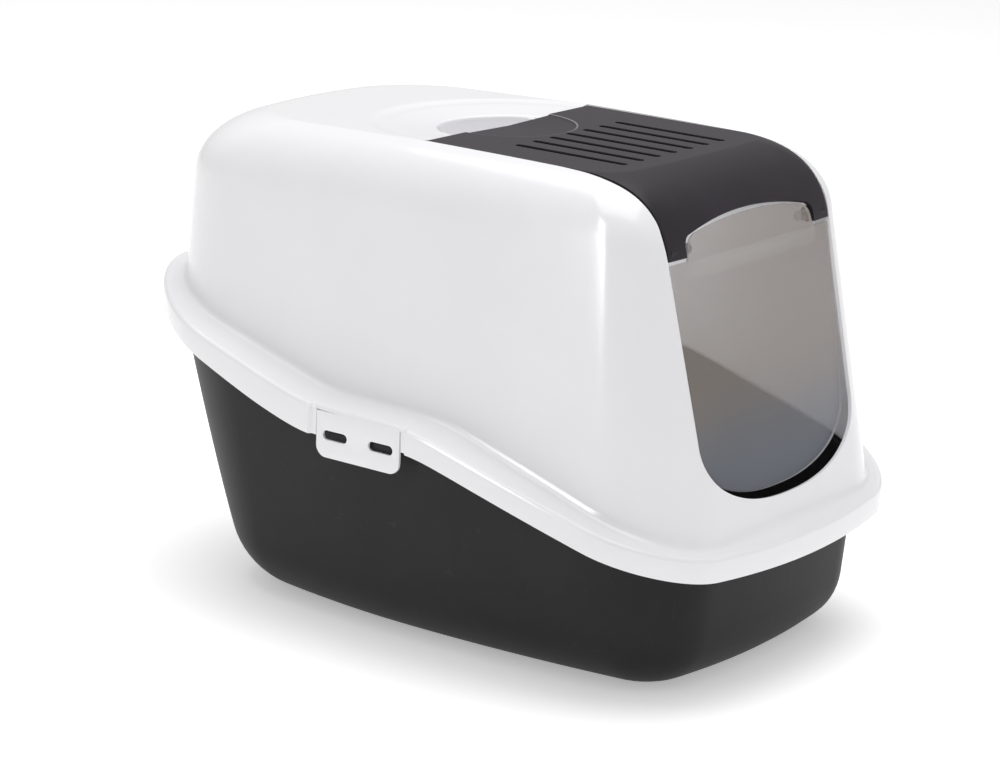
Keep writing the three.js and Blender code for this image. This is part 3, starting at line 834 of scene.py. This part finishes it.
def make_handle_wall():
    """The pocket's flat front wall and, above it, the lip the fingers hook under."""
    depth = np.linspace(-2.6, POCKET_DEPTH + 1.0, 14)[:, None]
    across = np.linspace(-1, 1, 41)
    z = np.minimum(ROOF_Z - depth, DECK_Z) * np.ones(41)
    x = (POCKET_RADIUS + 0.6) * across * np.ones((14, 1))
    y = np.full(x.shape, HINGE_Y - 0.2)
    piece = make_piece("handle_wall", [(np.stack([x, y, z], -1), False)], inside=(0, 300, 360))
    mesh_wall = piece.modifiers.new("wall", "SOLIDIFY")
    mesh_wall.thickness = WALL * MM
    mesh_wall.offset = 0.0
    return settle(piece)


def make_deck():
    """The hood's deck under the cover: a plate's profile carried round the filter window."""
    steps = np.linspace(0, 1, 61)[:-1]
    half = PAD_HALF + WINDOW_EDGE
    front = PAD_ENDS[0] - WINDOW_EDGE
    rear = PAD_ENDS[1] + WINDOW_EDGE
    side = [(-half, rear), (-half, front), (half, front), (half, rear)]
    outer = [(-104.0, HINGE_Y - 1.5), (-101.0, -151.5), (101.0, -151.5), (104.0, HINGE_Y - 1.5)]
    inner_loop = []
    outer_loop = []
    for k in range(4):
        for loop, corners in ((inner_loop, side), (outer_loop, outer)):
            a = np.array(corners[k])
            b = np.array(corners[(k + 1) % 4])
            loop.append(a + (b - a) * steps[:, None])
    inner = np.concatenate(inner_loop)
    outer = np.concatenate(outer_loop)
    top = DECK_Z - 0.4
    low = top - DECK_THICK
    lip = 4.5
    lip_thick = 2.0
    behind_lip = inner + np.sign(inner - [0, (front + rear) / 2]) * lip_thick
    rows = [(outer, top), (inner, top), (inner, low - lip), (behind_lip, low - lip), (behind_lip, low),
            (outer, low), (outer, top)]
    grid = np.stack([np.column_stack([loop, np.full(len(loop), level)]) for loop, level in rows])
    piece = make_piece("hood_deck", [(grid, True)])
    add_edge(piece, 0.5, 2)
    return settle(piece)


# ---------------------------------------------------------------- vent cover

COVER_COLUMNS = 141
COVER_ROOF_ROWS = 92
COVER_JOINTS = (0.80, 0.855, 0.88)  # places across the cover where arch, corner and arm's side end


def cover_foot(u):
    """(x, z) of the cover's lower edge for a place u from 0 (middle) to 1 (outer side).

    The arch, its rounded corner, the arm's inner side and the arm's foot follow each other."""
    arch_end, corner_end, side_end = COVER_JOINTS
    arch = np.clip(u / arch_end, 0, 1)
    corner = np.clip((u - arch_end) / (corner_end - arch_end), 0, 1) * math.pi / 2
    drop = np.clip((u - corner_end) / (side_end - corner_end), 0, 1)
    foot = np.clip((u - side_end) / (1 - side_end), 0, 1)
    x = (ARCH_HALF - ARCH_BEND) * arch + ARCH_BEND * np.sin(corner) + (COVER_FRONT_HALF - ARCH_HALF) * foot
    z = ARCH_TOP_Z - (ARCH_TOP_Z - ARCH_CORNER_Z) * arch ** 2 - ARCH_BEND * (1 - np.cos(corner))
    z = z - (ARCH_CORNER_Z - ARCH_BEND - COVER_ARM_Z) * drop
    return x, z


def make_cover_skin():
    """The cover's outer skin: level rows over the roof, then rows down the front to the arch and arms."""
    u = np.linspace(-1, 1, COVER_COLUMNS)
    joints = [0.80, 0.8275, 0.841, 0.855, 0.8675, 0.88]
    u = np.unique(np.concatenate([u, joints, -np.array(joints)]))
    side = np.abs(u)
    sign = np.sign(u)
    start = HINGE_Y - 0.4
    rows = []
    edge_y = front_y(side * cover_half(np.full(len(u), -150.0)), ROOF_Z)
    for t in np.linspace(0, 1, COVER_ROOF_ROWS):
        y = mix(np.full(len(u), start), edge_y, t)
        rows.append(np.column_stack([u * cover_half(y), y, np.full(len(u), ROOF_Z)]))
    foot_x, foot_z = cover_foot(side)
    radius = FRONT_WALL[1]
    bend = np.arccos(1 - (ROOF_Z - foot_z) / radius)
    top_x = np.abs(rows[-1][:, 0])
    for t in np.linspace(0, 1, 44)[1:]:
        z = ROOF_Z - radius * (1 - np.cos(bend * t))
        x = mix(top_x, foot_x, smooth(0, 1, t))
        rows.append(np.column_stack([sign * x, front_y(x, z), z]))
    grid = np.stack(rows)
    grid[..., 2] = flatten_roof(grid)
    return grid


def flatten_roof(grid):
    """The cover's top is one flat that cuts the rounded front in a crease; a half-moon grip dips behind."""
    z = np.minimum(grid[..., 2], COVER_TOP)
    radius = np.hypot(grid[..., 0], grid[..., 1] - HINGE_Y)
    inside = 1 - smooth(POCKET_RADIUS - 3.4, POCKET_RADIUS - 0.2, radius)
    dip = GRIP_SINK * inside * (0.45 + 0.55 * (1 - radius / POCKET_RADIUS))
    return z - np.maximum(dip, 0.0)


def make_slot_cutter():
    """Seven upright prisms with round ends."""
    grids = []
    radius = SLOT_WIDTH / 2
    for i in range(SLOT_COUNT):
        x = (i - (SLOT_COUNT - 1) / 2) * SLOT_PITCH
        outline = rounded_box((x - radius, SLOT_ENDS[0]), (x + radius, SLOT_ENDS[1]), radius - 0.001, 10)
        grids.append((slab(outline, ROOF_Z - 20, ROOF_Z + 10, 2), True))
    return make_piece("slot_cutter", grids)


def make_cover():
    """The cover's skin given its wall, with the slots cut through."""
    piece = make_piece("cover_panel", [(make_cover_skin(), False)], inside=(0, 0, 200))
    add_wall(piece, COVER_THICK)
    cutter = make_slot_cutter()
    add_cut(piece, cutter)
    add_edge(piece, 0.6)
    return settle(piece, [cutter])


def make_knuckle(side):
    """The eye at the inner side of an arm that a door pin turns in: a ring with a bore, and its web."""
    low = ARCH_HALF + 1.2
    high = COVER_FRONT_HALF - 3.4
    profile = [(low, 3.0), (low, 5.8), (low + 0.6, 6.3), (high - 0.6, 6.3), (high, 5.8), (high, 0.01),
               (PIN_TIP + 1.5, 0.01), (PIN_TIP + 1.5, 3.0), (low, 3.0)]
    grid = turned_x(profile, DOOR_AXIS)
    grid[..., 0] *= side
    return make_piece("knuckle_left" if side < 0 else "knuckle_right", [(grid, True)])


# ---------------------------------------------------------------- swing door

TONGUE_SHARE = 0.80
TONGUE_HALF = 84.6


def door_columns():
    """Places across the door from -1 to 1, closer together near its sides."""
    t = np.linspace(0, 1, 60)
    right = np.unique(np.concatenate([1 - (1 - t) ** 1.5, [TONGUE_SHARE]]))
    return np.concatenate([-right[:0:-1], right])


def door_leaf_z(u):
    """Lower edge of the leaf: the doorway's superellipse, raised by the clearance."""
    bend_z = DOORWAY["sill_z"] + DOOR_CLEAR + DOORWAY["bend"]
    power = DOORWAY["squareness"]
    return bend_z - DOORWAY["bend"] * np.maximum(1 - np.abs(u) ** power, 0.0) ** (1 / power)


def leaf_y(x, z):
    """A flat leaf, eased into the curved front just under its top."""
    flat = DOOR_HANG_Y - DOOR_SLOPE * (DOOR_TOP_Z - z)
    skin = front_y(np.minimum(np.abs(x), 100.0), z, 0.4)
    inside = 1 - smooth(TONGUE_HALF - 4, TONGUE_HALF + 6, np.abs(x))
    return mix(flat, skin, smooth(DOOR_TOP_Z - 12, DOOR_TOP_Z + 1, z) * inside)


def make_door():
    """The leaf, in rows from its rounded lower edge to its shoulders, and the tongue that fills the arch."""
    u = door_columns()
    low = door_leaf_z(u)
    rows = []
    for t in np.linspace(0, 1, 64):
        z = mix(low, DOOR_TOP_Z, t)
        x = u * (doorway_half(np.maximum(z, DOORWAY["low_z"])) - DOOR_CLEAR)
        rows.append(np.column_stack([x, leaf_y(x, z), z]))
    leaf = np.stack(rows)
    inner = np.abs(u) <= TONGUE_SHARE + 1e-9
    base = leaf[-1, inner]
    share = u[inner] / TONGUE_SHARE
    arch = ARCH_TOP_Z - TONGUE_GAP - (ARCH_TOP_Z - ARCH_CORNER_Z) * (share * 0.93) ** 2
    top = DOOR_TOP_Z + (arch - DOOR_TOP_Z) * np.sqrt(np.maximum(1 - np.abs(share) ** 18, 0.04))
    rows = [base]
    for t in np.linspace(0, 1, 18)[1:]:
        z = mix(DOOR_TOP_Z, top, t)
        x = mix(base[:, 0], share * TONGUE_HALF, min(t * 3, 1.0))
        rows.append(np.column_stack([x, leaf_y(x, z), z]))
    piece = make_piece("door_panel", [(leaf, False), (np.stack(rows), False)], inside=(0, 0, 240))
    add_wall(piece, DOOR_THICK)
    add_edge(piece, 0.6)
    return settle(piece)


def make_door_pin(side):
    """The door's moulded ear and the pin that turns in the cover's arm."""
    ear = ARCH_HALF - 12.0
    inner = ARCH_HALF - TONGUE_GAP
    profile = [(ear, 0.01), (ear, 3.4), (ear + 0.5, 3.9), (inner - 0.4, 3.9), (inner, 3.5),
               (inner, PIN_RADIUS), (PIN_TIP - 0.8, PIN_RADIUS), (PIN_TIP, PIN_RADIUS - 0.8), (PIN_TIP, 0.01)]
    grid = turned_x(profile, DOOR_AXIS)
    grid[..., 0] *= side
    return make_piece("door_pin_left" if side < 0 else "door_pin_right", [(grid, True)])


# ---------------------------------------------------------------- tub

TUB_COLUMNS = 170


def tub_plan(z):
    """The tub's outline at height z, between those of its floor and mouth."""
    spread = (np.maximum(z, 0.0) / TUB_MOUTH_Z) ** TUB_BELLY
    return {key: mix(TUB_FLOOR[key], TUB_MOUTH[key], spread) for key in TUB_FLOOR}


def tub_point(s, z):
    """Point of the tub's skin: outline between floor and mouth sizes, drawn in by a quarter-round foot."""
    foot = np.maximum(1 - z / TUB_FOOT_RISE, 0.0)
    inset = TUB_FOOT_INSET * (1 - np.sqrt(np.maximum(1 - foot * foot, 0.0)))
    x, y = plan_point(tub_plan(z), s, inset)
    return np.stack([x, y, z], -1)


def make_tray():
    """The tub as rings: floor from its middle out, rounded foot, wall up to its flange, and the flange."""
    s = along_rim(np.linspace(0, 1, TUB_COLUMNS))
    rows = []
    floor = tub_point(s, np.zeros(len(s)))
    for k in np.linspace(0.0, 1.0, 18):
        rows.append(floor * np.array([k, k, 1.0]) + np.array([0, TUB_FLOOR_MIDDLE_Y * (1 - k), 0.0]))
    turn = np.linspace(0, math.pi / 2, 15)[1:]
    for angle in turn:
        rows.append(tub_point(s, np.full(len(s), TUB_FOOT_RISE * (1 - math.cos(angle)))))
    y_top = plan_point(tub_plan(np.full(len(s), 180.0)), s)[1]
    top = rim_z(y_top) + FLANGE_SEAT
    for t in np.linspace(0, 1, 40)[1:]:
        rows.append(tub_point(s, mix(np.full(len(s), TUB_FOOT_RISE), top, t)))
    last = rows[-1]
    x_out, y_out = plan_point(RIM, s, FLANGE_INSET)
    lip = np.stack([x_out, y_out, rim_z(y_out) + FLANGE_SEAT], -1)
    for t in (0.34, 0.67, 1.0):
        rows.append(mix(last, lip, t))
    piece = make_piece("tub_shell", [(mirrored_rows(np.stack(rows)), True)], inside=(0, 0, 130))
    add_wall(piece, WALL)
    add_edge(piece, 0.8)
    return settle(piece)


def make_catch(side, y):
    """One catch lug of the tub: a small block with a rounded nose, reaching to the tab."""
    face = side * (RIM["side"] - TAB_RECESS - TAB_THICK - CATCH_GAP)
    root = side * (RIM["side"] - TAB_RECESS - TAB_THICK - CATCH_ROOT)
    outline = rounded_box((y - CATCH[0] / 2, TAB_SLOT[3] - CATCH[1] / 2),
                          (y + CATCH[0] / 2, TAB_SLOT[3] + CATCH[1] / 2), 1.2, 4)
    grid = slab(outline, min(face, root), max(face, root), 0)
    end = "front" if y < 0 else "rear"
    return make_piece(("catch_left_" if side < 0 else "catch_right_") + end, [(grid, True)])


# ---------------------------------------------------------------- latch tabs


def tab_outline():
    """Side view of a tab: straight to the ledge, rounded at its lower corners."""
    top = RIM_TAB_Z + SKIRT - WALL - 0.35
    angle = np.linspace(0, math.pi / 2, 9)
    left = np.stack([-TAB_HALF + TAB_CORNER * (1 - np.cos(angle)),
                     TAB_LOW + TAB_CORNER * (1 - np.sin(angle))], -1)
    right = left[::-1] * np.array([-1.0, 1.0])
    return np.concatenate([[[-TAB_HALF, top]], left, right, [[TAB_HALF, top]]])


def make_latch(side):
    """A plate that follows the skirt, with two slots for the tub's catch lugs."""
    name = "latch_tab_left" if side < 0 else "latch_tab_right"
    face = side * (RIM["side"] - TAB_RECESS)
    back = side * (RIM["side"] - TAB_RECESS - TAB_THICK)
    piece = make_piece(name, [(slab(tab_outline(), min(face, back), max(face, back), 0), True)])
    grids = []
    length, height, away, level = TAB_SLOT
    for y in (-away, away):
        outline = rounded_box((y - length / 2, level - height / 2), (y + length / 2, level + height / 2),
                              height / 2 - 0.001, 8)
        grids.append((slab(outline, min(face, back) - 6, max(face, back) + 6, 0), True))
    cutter = make_piece(name + "_cutter", grids)
    add_cut(piece, cutter)
    add_edge(piece, 0.5)
    return settle(piece, [cutter])


# ---------------------------------------------------------------- stage and light

FLOOR_GLOW = 0.36
ROOM_BRIGHTNESS = 0.54  # of the white room as a light
BACKDROP_BRIGHTNESS = 1.10  # of the white room as the camera sees it


def make_floor(material):
    """A level floor far past the view."""
    line = np.linspace(-9000, 9000, 5)
    x, y = np.meshgrid(line, line)
    grid = np.stack([x, y, np.full(x.shape, -0.6)], -1)
    floor = make_piece("floor", [(grid, False)], inside=(0, 0, -900))
    floor.data.materials.append(material)


def floor_paper():
    """Pale paper with a faint tooth."""
    finish = Finish("pale_paper")
    tooth = finish.noise(3.0, 3.0, 0.5)
    tone = finish.mix(tooth, (0.93, 0.93, 0.93, 1.0), (0.95, 0.95, 0.95, 1.0))
    finish.set(Base_Color=tone, Roughness=0.9, Specular_IOR_Level=0.1)
    finish.set(Emission_Color=(1.0, 1.0, 1.0, 1.0), Emission_Strength=FLOOR_GLOW)
    return finish.material


def add_softbox(name, place, target, size, power, only_gloss=False):
    """A rectangular lamp at a place, turned to a target; only_gloss leaves it out of the diffuse light."""
    data = bpy.data.lights.new(name, "AREA")
    data.shape = "RECTANGLE"
    data.size, data.size_y = size
    data.energy = power
    light = bpy.data.objects.new(name, data)
    light.location = place
    light.rotation_euler = (Vector(target) - Vector(place)).to_track_quat("-Z", "Y").to_euler()
    light.visible_diffuse = not only_gloss
    bpy.context.collection.objects.link(light)


def add_cabin_light():
    """A large dim lamp inside the hood, standing in for the light its thin white walls let through."""
    data = bpy.data.lights.new("cabin_fill", "POINT")
    data.energy = 0.6
    data.shadow_soft_size = 0.06
    light = bpy.data.objects.new("cabin_fill", data)
    light.location = (0.0, 0.02, 0.27)
    light.visible_glossy = False
    bpy.context.collection.objects.link(light)


def make_light():
    """A white room, brighter behind the object than it lights it, a broad overhead box and a side strip."""
    world = bpy.data.worlds.new("studio")
    world.use_nodes = True
    tree = world.node_tree
    backdrop = tree.nodes["Background"]
    backdrop.inputs["Color"].default_value = (1.0, 1.0, 1.0, 1.0)
    path = tree.nodes.new("ShaderNodeLightPath")
    strength = tree.nodes.new("ShaderNodeMapRange")
    tree.links.new(path.outputs["Is Camera Ray"], strength.inputs["Value"])
    strength.inputs["To Min"].default_value = ROOM_BRIGHTNESS
    strength.inputs["To Max"].default_value = BACKDROP_BRIGHTNESS
    tree.links.new(strength.outputs["Result"], backdrop.inputs["Strength"])
    bpy.context.scene.world = world
    bpy.context.scene.view_settings.view_transform = "Standard"
    add_softbox("overhead", (0.2, 0.12, 2.4), (0, 0, 0.2), size=(2.2, 2.2), power=42.0)
    add_softbox("side_strip", (-1.10, 0.16, 0.80), (-0.14, -0.18, 0.75), size=(0.29, 1.13), power=12.0,
                only_gloss=True)
    add_cabin_light()


# ---------------------------------------------------------------- assembly

make_camera()
make_light()
make_floor(floor_paper())

white = gloss_white()
anthracite = eroded_plastic(
    "tub_anthracite", (0.0080, 0.0072, 0.0080, 1.0), (0.0125, 0.0112, 0.0125, 1.0), roughness=0.45,
    relief=0.025)
# The cover's colour also carries painted shade in and under its slots and a painted highlight along its
# grip's rim.
cover_dark = eroded_plastic(
    "cover_anthracite", (0.018, 0.014, 0.019, 1.0), (0.026, 0.021, 0.028, 1.0), roughness=0.38, relief=0.10,
    painted_light=slot_shade_and_grip_highlight)
frame_dark = eroded_plastic(
    "frame_anthracite", (0.028, 0.026, 0.028, 1.0), (0.040, 0.038, 0.041, 1.0), roughness=0.50, relief=0.25)
foam = carbon_foam()
smoke = smoked_clear()

finish_piece(make_hood_shell(), white, "hood", "hood_plastic", "hood")
finish_piece(make_handle_wall(), white, "hood", "hood_plastic", "hood")
finish_piece(make_deck(), white, "hood", "hood_plastic", "hood")
finish_piece(make_cover(), cover_dark, "cover", "cover_plastic", "vent_cover")
finish_piece(make_door(), smoke, "door", "smoked_plastic", "door")
finish_piece(make_tray(), anthracite, "tub", "tub_plastic", "tray")
for side in (-1, 1):
    finish_piece(settle(make_knuckle(side)), cover_dark, "cover", "cover_plastic", "vent_cover")
    finish_piece(settle(make_door_pin(side)), smoke, "door", "smoked_plastic", "door")
    for y in (-TAB_SLOT[2], TAB_SLOT[2]):
        finish_piece(settle(make_catch(side, y)), anthracite, "tub", "tub_plastic", "tray")
finish_piece(make_latch(-1), white, "latch_left", "hood_plastic", "latch_left")
finish_piece(make_latch(1), white, "latch_right", "hood_plastic", "latch_right")

for node, material in (("filter_frame", frame_dark), ("filter_pad", foam)):
    for material_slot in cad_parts[node].material_slots:
        material_slot.material = material
